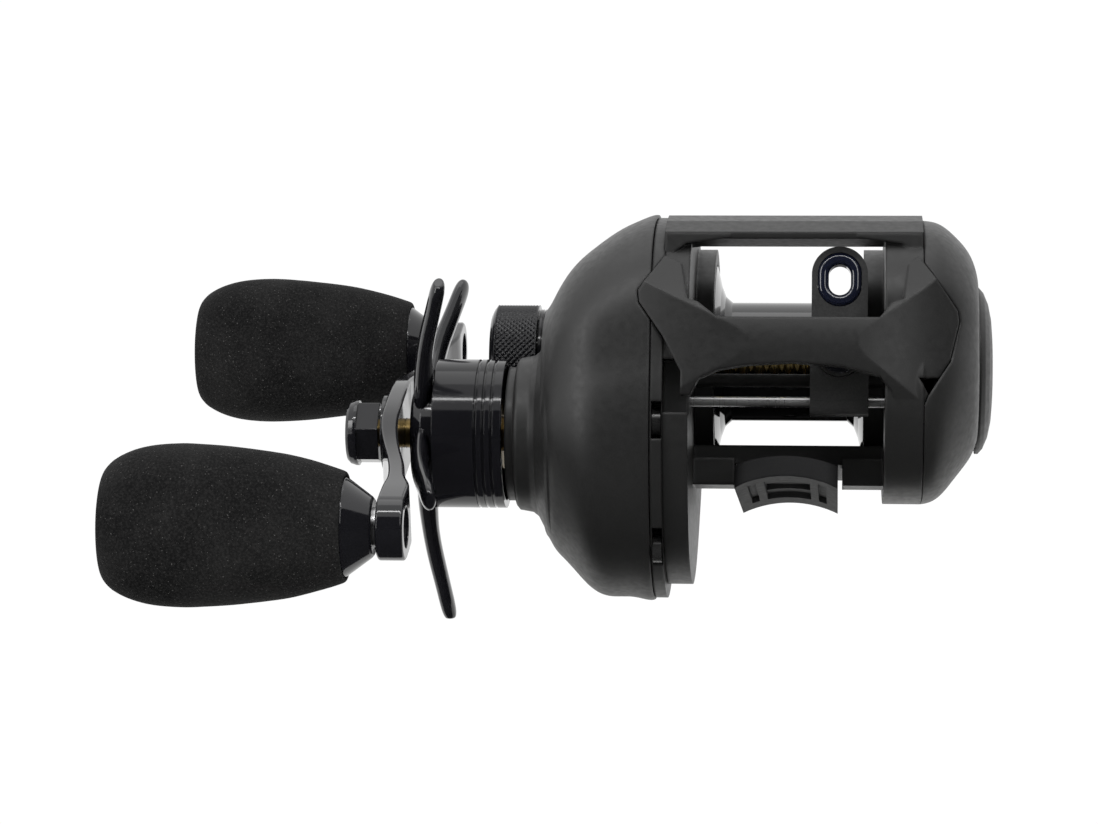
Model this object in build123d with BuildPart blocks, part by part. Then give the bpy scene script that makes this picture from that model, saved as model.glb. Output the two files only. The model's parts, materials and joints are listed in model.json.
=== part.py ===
"""Low-profile baitcasting reel, right-hand retrieve, as separate sub-parts in millimetres.

Frame: X runs along the spool axle (+X is the palm side, -X the handle side), -Y points to the rod tip and
+Z away from the rod. The origin is the middle of the reel foot, on the line where it rests on the rod.
"""

from build123d import *

import math
import os

os.makedirs("parts", exist_ok=True)

# ---------------------------------------------------------------- driving dimensions
SPOOL_Y, SPOOL_Z = 7.0, 23.5  # spool axle
CRANK_Y, CRANK_Z = -11.5, 8.45  # drive shaft, handle, star drag
ROD_Y, ROD_Z = -26.0, 12.7  # plain guide rod of the level wind
ROD_R = 0.9
GEAR_TEETH, PINION_TEETH = 72, 10  # 7.2 turns of the spool for each turn of the handle
COG_TEETH, WORM_TEETH = 36, 20  # level-wind drive
COG_MODULE = 0.55
GEAR_MODULE = 2 * math.hypot(SPOOL_Y - CRANK_Y, SPOOL_Z - CRANK_Z) / (GEAR_TEETH + PINION_TEETH)
WORM_Z = 20.5
COG_DISTANCE = COG_MODULE * (COG_TEETH + WORM_TEETH) / 2
WORM_Y = CRANK_Y - math.sqrt(COG_DISTANCE**2 - (WORM_Z - CRANK_Z) ** 2)

PALM_WALL = (16.4, 22.7)  # frame walls, inner and outer face along X
GEAR_WALL = (-20.5, -16.2)
PLATE_X = -22.5  # outer face of the gear plate
SEAM = 0.15  # gap along every visible joint line
SKIN = 2.1  # wall of the moulded covers
FLANGE_R = 17.0
COLLAR_R = 20.0  # raised ring round each spool flange
ARBOR_R = 10.55
GUIDE_X = 8.8  # the line guide's place at rest
HANDLE_ANGLE = math.radians(26)
HANDLE_REACH = 44.0
RUN = 0.04  # radial clearance of a running fit

SPOOL_C = (SPOOL_Y, SPOOL_Z)
CRANK_C = (CRANK_Y, CRANK_Z)
WORM_C = (WORM_Y, WORM_Z)
ROD_C = (ROD_Y, ROD_Z)


def x_axis(centre):
    return Axis((0, *centre), (1, 0, 0))


def side(x):
    """The plane across X whose local axes are row Y and Z."""
    return Plane.YZ.offset(x)


def turned(outline, centre):
    """A solid of revolution about the X-parallel line through centre, from (x, radius) corners."""
    with BuildPart() as body:
        with BuildSketch(Plane(origin=(0, *centre), x_dir=(1, 0, 0), z_dir=(0, -1, 0))):
            with BuildLine():
                Polyline(*outline, close=True)
            make_face()
        revolve(axis=x_axis(centre))
    return body.part


def tube(x0, x1, r_out, r_in, centre):
    if r_in > 0:
        return turned([(x0, r_in), (x1, r_in), (x1, r_out), (x0, r_out)], centre)
    return turned([(x0, 0), (x1, 0), (x1, r_out), (x0, r_out)], centre)


def disc(x0, x1, radius, centre):
    return tube(x0, x1, radius, 0, centre)


def prism_y(points, y0, y1):
    """A solid with this outline in X and Z, between two Y planes."""
    with BuildPart() as body:
        with BuildSketch(Plane(origin=(0, y0, 0), x_dir=(1, 0, 0), z_dir=(0, -1, 0))):
            with BuildLine():
                Polyline(*points, close=True)
            make_face()
        extrude(amount=-(y1 - y0))
    return body.part


def box(x0, x1, y0, y1, z0, z1):
    """A block between corner values, for cutting and for plain bars."""
    with BuildPart() as body:
        with Locations(((x0 + x1) / 2, (y0 + y1) / 2, (z0 + z1) / 2)):
            Box(x1 - x0, y1 - y0, z1 - z0)
    return body.part


def save(part, name):
    part.label = name
    export_step(part, f"parts/{name}.step")


def bearing(x0, x1, r_out, r_in, centre):
    """A ball bearing as loose solids: two grooved races and a ring of balls."""
    middle, pitch = (x0 + x1) / 2, (r_out + r_in) / 2
    ball = min((r_out - r_in) * 0.26, (x1 - x0) * 0.36)
    race = (r_out - r_in) * 0.3
    with BuildPart() as body:
        add(tube(x0, x1, r_in + race, r_in, centre))
        add(tube(x0, x1, r_out, r_out - race, centre))
        with BuildSketch(Plane(origin=(0, *centre), x_dir=(1, 0, 0), z_dir=(0, -1, 0))):
            with Locations((middle, pitch)):
                Circle(ball + 0.03)
        revolve(axis=x_axis(centre), mode=Mode.SUBTRACT)
        for i in range(8):
            a = 2 * math.pi * i / 8
            with Locations((middle, centre[0] + pitch * math.cos(a), centre[1] + pitch * math.sin(a))):
                Sphere(ball)
    return body.part


# ---------------------------------------------------------------- body outlines
# Closed side views as (y, z) points, nose to the left. Each section of a cover is one of these fitted to a box.
GEAR_OUTLINE = [
    (-38, 17), (-37, 2), (-28.5, -13), (-11.5, -20), (5, -15.6), (19, -4), (30, 9),
    (33, 21), (28.5, 32.5), (15, 42), (-3, 47.4), (-19, 45.4), (-31, 39.6), (-37, 29.5),
]  # fmt: skip
PALM_OUTLINE = [
    (-37.4, 19), (-36, 6), (-29, -1.4), (-15, -3.4), (5, -1.4), (20, 3.4), (30.5, 11.5),
    (33, 21), (28.5, 32.3), (15, 41.8), (-3, 46.5), (-19, 44.5), (-30.6, 39.2), (-36.5, 29.8),
]  # fmt: skip


def fitted(outline, y0, y1, z0, z1):
    """The outline stretched to fill a box in Y and Z."""
    ys = [p[0] for p in outline]
    zs = [p[1] for p in outline]
    y_scale = (y1 - y0) / (max(ys) - min(ys))
    z_scale = (z1 - z0) / (max(zs) - min(zs))
    return [(y0 + (y - min(ys)) * y_scale, z0 + (z - min(zs)) * z_scale) for y, z in outline]


def lofted(outline, sections, ruled=False):
    """A skinned solid through sections of (x, y0, y1, z0, z1)."""
    with BuildPart() as body:
        for x, *limits in sections:
            with BuildSketch(side(x)):
                with BuildLine():
                    Spline(*fitted(outline, *limits), periodic=True)
                make_face()
        loft(ruled=ruled)
    return body.part


def slab(outline, x0, x1, limits):
    """A flat plate with the outline, between two X planes."""
    with BuildPart() as body:
        with BuildSketch(side(x0)):
            with BuildLine():
                Spline(*fitted(outline, *limits), periodic=True)
            make_face()
        extrude(amount=x1 - x0)
    return body.part


def drawn_in(sections, wall, stations):
    """The same sections smaller by a wall thickness, moved to new X stations."""
    return [(x, s[1] + wall, s[2] - wall, s[3] + wall, s[4] - wall) for x, s in zip(stations, sections)]


GEAR_LIMITS = (-37.2, 33.0, -19.9, 47.4)
GEAR_SECTIONS = [
    (PLATE_X - SEAM, *GEAR_LIMITS),
    (-24.8, -37.15, 32.95, -19.85, 46.9),
    (-28.5, -36.9, 32.7, -19.5, 45.2),
    (-31.6, -36.4, 32.2, -19.2, 43.2),
    (-34.2, -35.5, 31.3, -17.6, 41.2),
    (-36.4, -34.2, 29.9, -15.3, 39.2),
    (-38.4, -32.6, 28.2, -13.2, 36.6),
    (-40.0, -30.6, 26.4, -11.5, 33.8),
    (-41.6, -28.0, 23.8, -9.0, 31.2),
]
PALM_LIMITS = (-37.2, 33.0, -3.3, 46.5)
PALM_SECTIONS = [
    (PALM_WALL[1] + SEAM, *PALM_LIMITS),
    (23.9, -37.0, 32.9, -3.1, 46.4),
    (25.4, -36.2, 32.4, -2.4, 46.1),
    (28.0, -34.0, 30.8, 0.4, 44.4),
    (30.4, -31.0, 28.6, 3.6, 41.9),
    (31.7, -28.6, 26.8, 5.9, 39.4),
    (32.2, -26.6, 25.2, 7.4, 37.6),
]

# ---------------------------------------------------------------- nose band
# Front view of the cross band with its two ears, as (x, z) points.
BAND_FRONT = [
    (-20.4, 36.4), (-17.6, 35.0), (-16.4, 28.6), (-14.6, 28.0), (-11.4, 25.4), (15.4, 25.4),
    (17.6, 28.0), (19.4, 28.6), (20.2, 34.8), (21.8, 36.4), (28.3, 27.2), (28.6, 25.4),
    (27.0, 18.6), (23.4, 12.8), (22.6, 10.8), (18.3, 10.6), (17.4, 13.4), (15.4, 15.8),
    (9.0, 17.3), (1.0, 17.9), (-6.0, 17.5), (-11.0, 16.7), (-14.4, 15.2), (-15.8, 12.6),
    (-17.4, 12.6), (-17.4, 16.4), (-20.5, 22.4), (-24.5, 28.2), (-24.7, 30.2),
]  # fmt: skip
BAND_SIDE = [(-32.6, 38.5), (-36.0, 33), (-38.6, 28), (-39.9, 23), (-39.7, 18), (-38.2, 13), (-36.2, 9)]
BAND_PLAN = [(-26, -36.0), (-21, -37.6), (-12, -39.4), (2, -40.3), (16, -39.4), (24.4, -36.6), (30, -32.6)]
BAND_WALL = 3.0
XZ_FACING_FRONT = Plane(origin=(0, -50, 0), x_dir=(1, 0, 0), z_dir=(0, -1, 0))


def behind_nose(shift):
    """Everything behind the nose surface, with that surface moved back by shift."""
    with BuildPart() as body:
        with BuildSketch(side(-40)):
            with BuildLine():
                nose = Spline(*[(y + shift, z) for y, z in BAND_SIDE])
                Polyline(nose @ 1, (0, 9), (0, 38.5), nose @ 0)
            make_face()
        extrude(amount=80)
        with BuildSketch(Plane.XY):
            with BuildLine():
                plan = Spline(*[(x, y + shift) for x, y in BAND_PLAN])
                Polyline(plan @ 1, (30, 0), (-26, 0), plan @ 0)
            make_face()
        extrude(amount=60, mode=Mode.INTERSECT)
    return body.part


def band_prism(grow):
    """The band's front view as a deep prism, grown by a joint gap."""
    with BuildPart() as body:
        with BuildSketch(XZ_FACING_FRONT):
            with BuildLine():
                Polyline(*BAND_FRONT, close=True)
            make_face()
            if grow > 0:
                offset(amount=grow, kind=Kind.INTERSECTION)
        extrude(amount=-26)
    return body.part


with BuildPart() as band:
    add(band_prism(0))
    add(behind_nose(0), mode=Mode.INTERSECT)
    add(behind_nose(BAND_WALL), mode=Mode.SUBTRACT)

with BuildPart() as band_clearance:
    add(band_prism(SEAM))
    add(behind_nose(BAND_WALL + SEAM), mode=Mode.SUBTRACT)

# ---------------------------------------------------------------- frame
HOOD = [
    (-31.4, 39.7), (-31.6, 40.8), (-27, 43.4), (-20, 45.5), (-14, 46.3),
    (-10.6, 45.8), (-11.4, 44.4), (-16, 42.2), (-20, 40.1),
]  # fmt: skip
HOOD_GUSSET = [(0, 36.3), (3.6, 38.9), (11, 39.9), (11, 40.6), (0, 40.6)]  # from a wall's outer face inwards
THUMB_TAB = (25.0, 28.0, 16.6, 25.0)  # slot for the thumb bar's tab: y0, y1, z0, z1
LUG_FRONT, LUG_BACK = -12.0, -5.0

with BuildPart() as frame:
    add(slab(GEAR_OUTLINE, GEAR_WALL[0], GEAR_WALL[1], (-36.6, 32.4, -17.2, 46.4)))
    add(slab(PALM_OUTLINE, PALM_WALL[0], PALM_WALL[1], PALM_LIMITS))
    # recess of the gear-side wall below the band, and the open throat in front of the foot
    with BuildSketch(side(GEAR_WALL[0])):
        with Locations((-36.4, 14.2)):
            Rectangle(6.5, 9.0)
    extrude(amount=GEAR_WALL[1] - GEAR_WALL[0], mode=Mode.SUBTRACT)
    # hood over the line window
    with BuildSketch(side(GEAR_WALL[0])):
        with BuildLine():
            Polyline(*HOOD, close=True)
        make_face()
    extrude(amount=PALM_WALL[1] - GEAR_WALL[0])
    for wall, way in ((GEAR_WALL[0], 1), (PALM_WALL[1], -1)):
        with BuildSketch(Plane(origin=(0, -31.7, 0), x_dir=(1, 0, 0), z_dir=(0, -1, 0))):
            with BuildLine():
                Polyline(*[(wall + way * x, z) for x, z in HOOD_GUSSET], close=True)
            make_face()
        extrude(amount=-6)
    add(band.part)
    # floor, side lugs and rear brace
    add(box(GEAR_WALL[1] - 0.5, PALM_WALL[0] + 0.5, LUG_FRONT, 19.5, 3.4, 6.7))
    add(box(-16.6, -9.0, LUG_FRONT - 1.5, LUG_BACK, -0.3, 4.4))
    add(box(9.4, 16.6, LUG_FRONT - 1.5, LUG_BACK, -0.3, 4.4))
    add(box(GEAR_WALL[1] - 0.5, PALM_WALL[0] + 0.5, 19.0, 24.6, 6.0, 9.4))
    # collars round the spool flanges
    add(disc(GEAR_WALL[1] - 0.3, -13.0, COLLAR_R, SPOOL_C))
    add(disc(13.0, PALM_WALL[0] + 0.3, COLLAR_R, SPOOL_C))
    add(disc(-15.3, PALM_WALL[1] + 1, FLANGE_R + 0.45, SPOOL_C), mode=Mode.SUBTRACT)
    # bearing seat and bores in the gear-side wall
    add(disc(-19.0, -14, 5.02, SPOOL_C), mode=Mode.SUBTRACT)
    add(disc(-21, -18, 4.3, SPOOL_C), mode=Mode.SUBTRACT)
    add(disc(-21, -18, 4.6, CRANK_C), mode=Mode.SUBTRACT)
    add(disc(-21, -10, 3.3, WORM_C), mode=Mode.SUBTRACT)
    add(disc(14, 20.5, 3.3, WORM_C), mode=Mode.SUBTRACT)
    add(disc(-17.4, 18.4, ROD_R, ROD_C), mode=Mode.SUBTRACT)
    # slots for the tabs of the thumb bar
    add(box(-21, -12.6, THUMB_TAB[0], THUMB_TAB[1], THUMB_TAB[2], THUMB_TAB[3]), mode=Mode.SUBTRACT)
    add(box(12.6, 18.4, THUMB_TAB[0], THUMB_TAB[1], THUMB_TAB[2], THUMB_TAB[3]), mode=Mode.SUBTRACT)
    # holes for the two foot screws
    for y in (-8.5, 12.0):
        with BuildSketch(Plane.XY.offset(3)):
            with Locations((0, y)):
                Circle(1.3)
        extrude(amount=5, mode=Mode.SUBTRACT)
    # triangular hook keeper through the palm-side ear
    add(prism_y([(21.9, 15.6), (26.1, 15.8), (24.1, 11.9)], -42, -33.6), mode=Mode.SUBTRACT)
save(frame.part, "frame")

# ---------------------------------------------------------------- reel foot and its screws
FOOT_HALF, FOOT_WIDTH, FOOT_ARC = 28.5, 17.3, 20.0
FOOT_THICK, LIP_THICK, PAD_TOP = 2.0, 3.4, 3.4

FOOT_HOLLOW = (-21.0, 16.0)  # reach along Y
with BuildPart() as reel_foot:
    with BuildSketch(Plane(origin=(0, -FOOT_HALF, 0), x_dir=(1, 0, 0), z_dir=(0, -1, 0))):
        with Locations((0, -FOOT_ARC)):
            Circle(FOOT_ARC + FOOT_THICK)
            Circle(FOOT_ARC, mode=Mode.SUBTRACT)
        with Locations((0, 0)):
            Rectangle(FOOT_WIDTH, 12, mode=Mode.INTERSECT)
    extrude(amount=-2 * FOOT_HALF)
    with BuildSketch(Plane(origin=(0, -FOOT_HALF, 0), x_dir=(1, 0, 0), z_dir=(0, -1, 0))):
        with Locations((0, -FOOT_ARC)):
            Circle(FOOT_ARC + LIP_THICK)
            Circle(FOOT_ARC, mode=Mode.SUBTRACT)
        with Locations((0, 0)):
            Rectangle(FOOT_WIDTH, 12, mode=Mode.INTERSECT)
    extrude(amount=-3.2)
    with BuildSketch(Plane(origin=(0, -14, 0), x_dir=(1, 0, 0), z_dir=(0, -1, 0))):
        with Locations((0, 0)):
            Rectangle(FOOT_WIDTH, 2 * PAD_TOP)
        with Locations((0, -FOOT_ARC)):
            Circle(FOOT_ARC, mode=Mode.SUBTRACT)
        with Locations((0, -5)):
            Rectangle(30, 6.6, mode=Mode.SUBTRACT)
    extrude(amount=-29)
    # hollow of the underside, between two ribs, and a deeper pocket under the middle
    with BuildSketch(Plane(origin=(0, FOOT_HOLLOW[0], 0), x_dir=(1, 0, 0), z_dir=(0, -1, 0))):
        with Locations((0, -FOOT_ARC)):
            Circle(FOOT_ARC + 1.0)
            Circle(FOOT_ARC - 1.0, mode=Mode.SUBTRACT)
        Rectangle(13.4, 8, mode=Mode.INTERSECT)
        with Locations((-4.6, 0), (4.6, 0)):
            Rectangle(1.4, 8, mode=Mode.SUBTRACT)
    extrude(amount=FOOT_HOLLOW[0] - FOOT_HOLLOW[1], mode=Mode.SUBTRACT)
    add(box(-3.9, 3.9, -4.6, 8.2, -2, 1.7), mode=Mode.SUBTRACT)
    for y in (-8.5, 12.0):
        with BuildSketch(Plane.XY.offset(1.2)):
            with Locations((0, y)):
                Circle(0.95)
        extrude(amount=4, mode=Mode.SUBTRACT)
    fillet(reel_foot.edges().filter_by(Axis.Z).group_by(Axis.Y)[0], 2.4)
save(reel_foot.part, "reel_foot")

with BuildPart() as foot_screws:
    for y in (-8.5, 12.0):
        with BuildSketch(Plane.XY.offset(1.25)):
            with Locations((0, y)):
                Circle(0.93)
        extrude(amount=4)
        with BuildSketch(Plane.XY.offset(3.45)):
            with Locations((0, y)):
                Circle(1.27)
        extrude(amount=2.3)
        with BuildSketch(Plane.XY.offset(5.0)):
            with Locations((0, y)):
                Rectangle(2.0, 0.45)
        extrude(amount=1, mode=Mode.SUBTRACT)
save(foot_screws.part, "foot_screws")

# ---------------------------------------------------------------- gear side plate
COVER_SCREWS = [(-33.6, 8.4), (-26.0, -12.2), (16.4, 35.2), (17.0, -1.2)]  # axes of the cover screws
SLOTTED = COVER_SCREWS[:2]  # these two show their heads in slots of the plate's edge
POSTS = [(12.7, 16.5), (1.3, 30.5)]  # yoke posts

with BuildPart() as gear_side_plate:
    add(slab(GEAR_OUTLINE, PLATE_X, GEAR_WALL[0], (-37.0, 32.8, -19.6, 46.9)))
    add(band_clearance.part, mode=Mode.SUBTRACT)
    add(disc(PLATE_X - 1, -20, 4.3, SPOOL_C), mode=Mode.SUBTRACT)
    add(disc(PLATE_X - 1, -20, 4.52, CRANK_C), mode=Mode.SUBTRACT)
    add(disc(PLATE_X - 1, -20, 2.4, WORM_C), mode=Mode.SUBTRACT)
    for c in SLOTTED:
        slot_box = box(PLATE_X + 0.25, GEAR_WALL[0] - 0.05, c[0] - 6, c[0] + 1.2, c[1] - 3.1, c[1] + 3.1)
        add(slot_box, mode=Mode.SUBTRACT)
        add(disc(PLATE_X - 1, -21, 1.25, c), mode=Mode.SUBTRACT)
        add(disc(PLATE_X + 0.25, GEAR_WALL[0] - 0.05, 2.7, c), mode=Mode.SUBTRACT)
    for c in COVER_SCREWS[2:]:
        add(disc(PLATE_X - 1, -20, 1.25, c), mode=Mode.SUBTRACT)
        add(disc(-21.7, -20, 2.4, c), mode=Mode.SUBTRACT)
    for c in POSTS:
        add(disc(PLATE_X - 1, -20, 0.9, c), mode=Mode.SUBTRACT)
    add(box(PLATE_X - 1, -20, THUMB_TAB[0], THUMB_TAB[1], THUMB_TAB[2], THUMB_TAB[3]), mode=Mode.SUBTRACT)
save(gear_side_plate.part, "gear_side_plate")

# ---------------------------------------------------------------- gear cover
PILLAR_TIPS = [-28.2, -31.0, -38.0, -36.0]
CRANK_BOSS = [
    (-48.1, 6.0), (-48.1, 11.6), (-46.6, 11.6), (-46.6, 12.6), (-46.1, 13.2), (-43.8, 13.6), (-42.8, 14.4),
    (-40.7, 18.4), (-40.2, 19.0), (-38.6, 19.2), (-38.6, 6.0),
]  # fmt: skip

with BuildPart() as cover_outside:
    add(lofted(GEAR_OUTLINE, GEAR_SECTIONS))
    add(turned(CRANK_BOSS, CRANK_C))

GEAR_HOLLOW_X = [PLATE_X, -24.5, -27.8, -30.4, -32.8, -34.8, -36.6, -38.0, -39.4]
with BuildPart() as cover_hollow:
    add(lofted(GEAR_OUTLINE, drawn_in(GEAR_SECTIONS, SKIN, GEAR_HOLLOW_X), ruled=True))
    add(disc(-34.4, -28.4, 21.6, CRANK_C))
    # screw pillars stay solid
    for c, tip in zip(COVER_SCREWS, PILLAR_TIPS):
        add(disc(tip, PLATE_X + 1, 3.0, c), mode=Mode.SUBTRACT)

with BuildPart() as gear_cover:
    add(cover_outside.part)
    add(cover_hollow.part, mode=Mode.SUBTRACT)
    for c, tip in zip(COVER_SCREWS, PILLAR_TIPS):
        add(disc(tip + 1, PLATE_X, 0.97, c), mode=Mode.SUBTRACT)
    # seats for the pinion bearing, the roller clutch and the cast-control boss
    add(disc(-41.2, -36.6, 5.6, SPOOL_C))
    add(disc(-46.4, -38.0, 8.4, CRANK_C))
    add(disc(-60, -42.35, 9.5, SPOOL_C), mode=Mode.SUBTRACT)
    add(disc(-60, -38.9, 7.7, SPOOL_C), mode=Mode.SUBTRACT)
    add(disc(-60, -36, 4.02, SPOOL_C), mode=Mode.SUBTRACT)
    add(disc(-47.0, -37, 6.52, CRANK_C), mode=Mode.SUBTRACT)
    add(disc(-60, -37, 5.2, CRANK_C), mode=Mode.SUBTRACT)
    add(band_clearance.part, mode=Mode.SUBTRACT)
save(gear_cover.part, "gear_cover")

with BuildPart() as cover_screws:
    for c, tip in zip(COVER_SCREWS, PILLAR_TIPS):
        slotted = c in SLOTTED
        head_x = GEAR_WALL[0] - 0.2 if slotted else GEAR_WALL[0] - 0.05
        thick = 1.5 if slotted else 1.1
        radius = 2.4 if slotted else 2.2
        add(disc(head_x - thick, head_x, radius, c))
        add(disc(max(tip + 1.2, -31.5), head_x - thick, 0.93, c))
save(cover_screws.part, "cover_screws")

# ---------------------------------------------------------------- spool and its shaft
with BuildPart() as spool:
    add(
        turned(
            [
                (-14.3, 17.0), (-12.95, 17.0), (-12.6, 15.6), (-12.1, 13.4), (-11.4, 11.6), (-10.2, ARBOR_R),
                (10.2, ARBOR_R), (11.4, 11.6), (12.1, 13.4), (12.6, 15.6), (12.95, 17.0), (14.3, 17.0),
                (14.3, 15.9), (12.2, 9.2), (1.0, 9.2), (1.0, 3.2), (6.0, 3.2), (6.0, 1.36),
                (-13.0, 1.36), (-13.0, 3.2), (-1.0, 3.2), (-1.0, 9.2), (-12.2, 9.2), (-14.3, 15.9),
            ],  # fmt: skip
            SPOOL_C,
        )
    )
save(spool.part, "spool")

with BuildPart() as spool_shaft:
    add(disc(-44.2, 20.6, 1.35, SPOOL_C))
    with BuildSketch(Plane(origin=(-24.6, SPOOL_Y, SPOOL_Z), x_dir=(1, 0, 0), z_dir=(0, 1, 0))):
        Circle(0.45)
    extrude(amount=3, both=True, mode=Mode.SUBTRACT)
save(spool_shaft.part, "spool_shaft")

with BuildPart() as spool_shaft_pin:
    with BuildSketch(Plane(origin=(-24.6, SPOOL_Y, SPOOL_Z), x_dir=(1, 0, 0), z_dir=(0, 1, 0))):
        Circle(0.45)
    extrude(amount=2.5, both=True)
save(spool_shaft_pin.part, "spool_shaft_pin")

with BuildPart() as brake_rotor:
    add(tube(6.1, 7.1, 7.0, 1.36, SPOOL_C))
    add(tube(7.1, 14.6, 7.0, 6.2, SPOOL_C))
save(brake_rotor.part, "brake_rotor")

# ---------------------------------------------------------------- ball bearings: frame wall, cast-control boss, drive shaft
with BuildPart() as ball_bearings:
    add(bearing(-18.9, -16.4, 5.0, 1.35 + RUN, SPOOL_C))
    add(bearing(-43.4, -41.0, 4.0, 1.35 + RUN, SPOOL_C))
    add(bearing(-24.0, -20.7, 4.5, 2.0 + RUN, CRANK_C))
save(ball_bearings.part, "ball_bearings")

with BuildPart() as pinion_bearing:
    add(bearing(-38.8, -36.8, 4.0, 1.9 + RUN, SPOOL_C))
save(pinion_bearing.part, "pinion_bearing")

# ---------------------------------------------------------------- cast control (spool tension)
with BuildPart() as tension_boss:
    add(tube(-51.0, -44.5, 7.4, 4.6, SPOOL_C))
    add(tube(-44.5, -42.4, 9.2, 4.6, SPOOL_C))
    add(tube(-43.95, -43.65, 9.4, 9.0, SPOOL_C), mode=Mode.SUBTRACT)
    add(tube(-43.25, -42.95, 9.4, 9.0, SPOOL_C), mode=Mode.SUBTRACT)
    add(tube(-42.4, -39.0, 7.68, 4.02, SPOOL_C))
    add(disc(-43.5, -42.0, 4.02, SPOOL_C), mode=Mode.SUBTRACT)
save(tension_boss.part, "tension_boss")

KNURL_COUNT = 36
with BuildPart() as tension_cap:
    add(
        turned(
            [
                (-53.2, 0), (-53.2, 8.6), (-52.7, 9.5), (-52.0, 10.0), (-44.8, 10.0), (-44.7, 9.4), (-44.7, 7.45),
                (-51.6, 7.45), (-51.6, 4.4), (-46.2, 4.4), (-46.2, 0),
            ],  # fmt: skip
            SPOOL_C,
        )
    )
    # straight grip flutes
    with BuildSketch(side(-51.9)):
        with Locations(SPOOL_C):
            with PolarLocations(10.05, KNURL_COUNT):
                Rectangle(0.5, 0.55)
    extrude(amount=6.6, mode=Mode.SUBTRACT)
save(tension_cap.part, "tension_cap")

with BuildPart() as tension_shim:
    add(disc(-46.2, -44.7, 3.4, SPOOL_C))
    add(disc(-44.7, -44.25, 1.2, SPOOL_C))
save(tension_shim.part, "tension_shim")

# ---------------------------------------------------------------- gear train
def gear_outline(teeth, module, shift, backlash, phase):
    """Corner points of a spur gear. Each flank is three chords inside the true involute."""
    pressure = math.radians(20)
    inv20 = math.tan(pressure) - pressure
    pitch_r = teeth * module / 2
    base_r = pitch_r * math.cos(pressure)
    tip_r = pitch_r + (0.85 + shift) * module
    root_r = pitch_r - (1.25 - shift) * module
    half_pitch = (math.pi / 2 + 2 * shift * math.tan(pressure)) / teeth - backlash / (4 * pitch_r)

    def half_angle(radius):
        a = math.acos(min(1.0, base_r / radius))
        return half_pitch + inv20 - (math.tan(a) - a)

    start_r = max(base_r, root_r)
    radii = [start_r + (tip_r - start_r) * i / 3 for i in range(4)]
    flank = [(r, half_angle(r)) for r in radii]
    if root_r < start_r - 0.02:
        flank.insert(0, (root_r, half_angle(start_r)))
    points = []
    for tooth in range(teeth):
        middle = phase + 2 * math.pi * tooth / teeth
        points += [(r, middle - a) for r, a in flank]
        points += [(r, middle + a) for r, a in reversed(flank)]
    return [(r * math.cos(a), r * math.sin(a)) for r, a in points]


def gear_blank(outline, x0, x1, centre):
    with BuildPart() as body:
        with BuildSketch(Plane(origin=(x0, *centre), x_dir=(0, 1, 0), z_dir=(1, 0, 0))):
            with BuildLine():
                Polyline(*outline, close=True)
            make_face()
        extrude(amount=x1 - x0)
    return body.part


PINION_SHIFT = 0.45
BACKLASH = 0.14
TO_PINION = math.atan2(SPOOL_Z - CRANK_Z, SPOOL_Y - CRANK_Y)  # direction from the crank to the pinion
TO_WORM = math.atan2(WORM_Z - CRANK_Z, WORM_Y - CRANK_Y)

# a gear tooth points at its partner's gap
gear_teeth = gear_outline(GEAR_TEETH, GEAR_MODULE, -PINION_SHIFT, BACKLASH, TO_PINION)
pinion_teeth = gear_outline(
    PINION_TEETH, GEAR_MODULE, PINION_SHIFT, BACKLASH, TO_PINION + math.pi + math.pi / PINION_TEETH
)
cog_teeth = gear_outline(COG_TEETH, COG_MODULE, 0, BACKLASH, TO_WORM)
worm_gear_teeth = gear_outline(WORM_TEETH, COG_MODULE, 0, BACKLASH, TO_WORM + math.pi + math.pi / WORM_TEETH)

with BuildPart() as drive_gear:
    add(gear_blank(gear_teeth, -33.6, -29.0, CRANK_C))
    add(disc(-34, -31.0, 16.6, CRANK_C), mode=Mode.SUBTRACT)
    add(disc(-34, -28, 3.04, CRANK_C), mode=Mode.SUBTRACT)
    add(tube(-29.6, -28.5, 24.0, 17.4, CRANK_C), mode=Mode.SUBTRACT)  # room for the lifted pinion's collar
save(drive_gear.part, "drive_gear")

with BuildPart() as pinion:
    add(gear_blank(pinion_teeth, -35.4, -28.0, SPOOL_C))
    add(disc(-39.2, -35.4, 1.9, SPOOL_C))
    add(disc(-28.0, -27.4, 3.6, SPOOL_C))
    add(disc(-27.4, -26.1, 2.4, SPOOL_C))
    add(disc(-26.1, -23.7, 3.6, SPOOL_C))
    add(disc(-40, -23, 1.35 + 0.13, SPOOL_C), mode=Mode.SUBTRACT)
    add(box(-25.15, -23.6, SPOOL_Y - 4, SPOOL_Y + 4, SPOOL_Z - 0.6, SPOOL_Z + 0.6), mode=Mode.SUBTRACT)
save(pinion.part, "pinion")

with BuildPart() as cog_gear:
    add(gear_blank(cog_teeth, -28.4, -26.6, CRANK_C))
    add(disc(-29, -26, 3.04, CRANK_C), mode=Mode.SUBTRACT)
    with BuildSketch(side(-29)):
        with Locations(CRANK_C):
            with PolarLocations(6.7, 5):
                Circle(1.5)
    extrude(amount=3, mode=Mode.SUBTRACT)
save(cog_gear.part, "cog_gear")

with BuildPart() as ratchet:
    with BuildSketch(side(-26.5)):
        with BuildLine():
            corners = []
            for i in range(12):
                a = 2 * math.pi * i / 12
                b = 2 * math.pi * (i + 0.93) / 12
                corners.append((CRANK_Y + 8.0 * math.cos(a), CRANK_Z + 8.0 * math.sin(a)))
                corners.append((CRANK_Y + 6.4 * math.cos(b), CRANK_Z + 6.4 * math.sin(b)))
            Polyline(*corners, close=True)
        make_face()
        with Locations(CRANK_C):
            Circle(3.04, mode=Mode.SUBTRACT)
    extrude(amount=1.0)
save(ratchet.part, "ratchet")

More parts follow.
